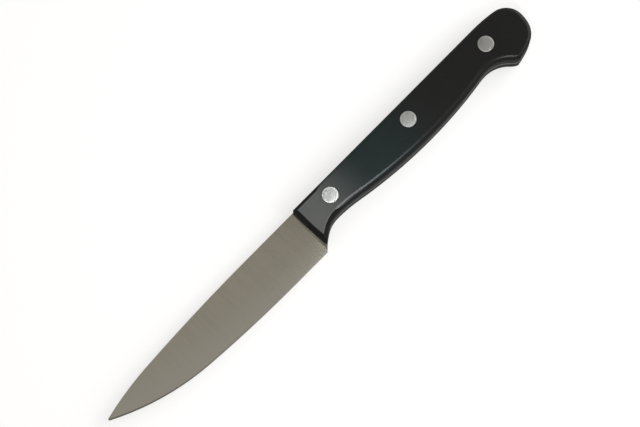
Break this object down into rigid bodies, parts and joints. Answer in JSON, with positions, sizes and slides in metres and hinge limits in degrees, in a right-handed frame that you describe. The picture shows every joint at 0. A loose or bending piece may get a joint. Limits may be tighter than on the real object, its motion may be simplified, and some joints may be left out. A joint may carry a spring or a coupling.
{
  "type": "paring knife",
  "caption": "Paring knife with a taper-ground steel blade, a full tang and black plastic scales held by two-part steel rivets.",
  "frame": {"origin": "centre of the bounding box in plan, at the level of the right scale's outer flat, on which the knife lies", "axes": "+X towards the tip, +Y towards the side that the cutting edge faces, +Z out of the left side, up when the knife lies on its right side"},
  "size_m": [0.2082, 0.0196, 0.015],
  "materials": {
    "blade_steel": "satin, finely ground across the blade",
    "handle_plastic": "moulded, satin",
    "rivet_steel": "ground flush, satin"
  },
  "bodies": {
    "root": {"blade": "blade_steel", "left_scale": "handle_plastic", "right_scale": "handle_plastic", "front_rivet_sleeve": "rivet_steel", "front_rivet_stud": "rivet_steel", "middle_rivet_sleeve": "rivet_steel", "middle_rivet_stud": "rivet_steel", "rear_rivet_sleeve": "rivet_steel", "rear_rivet_stud": "rivet_steel"}
  },
  "joints": []
}
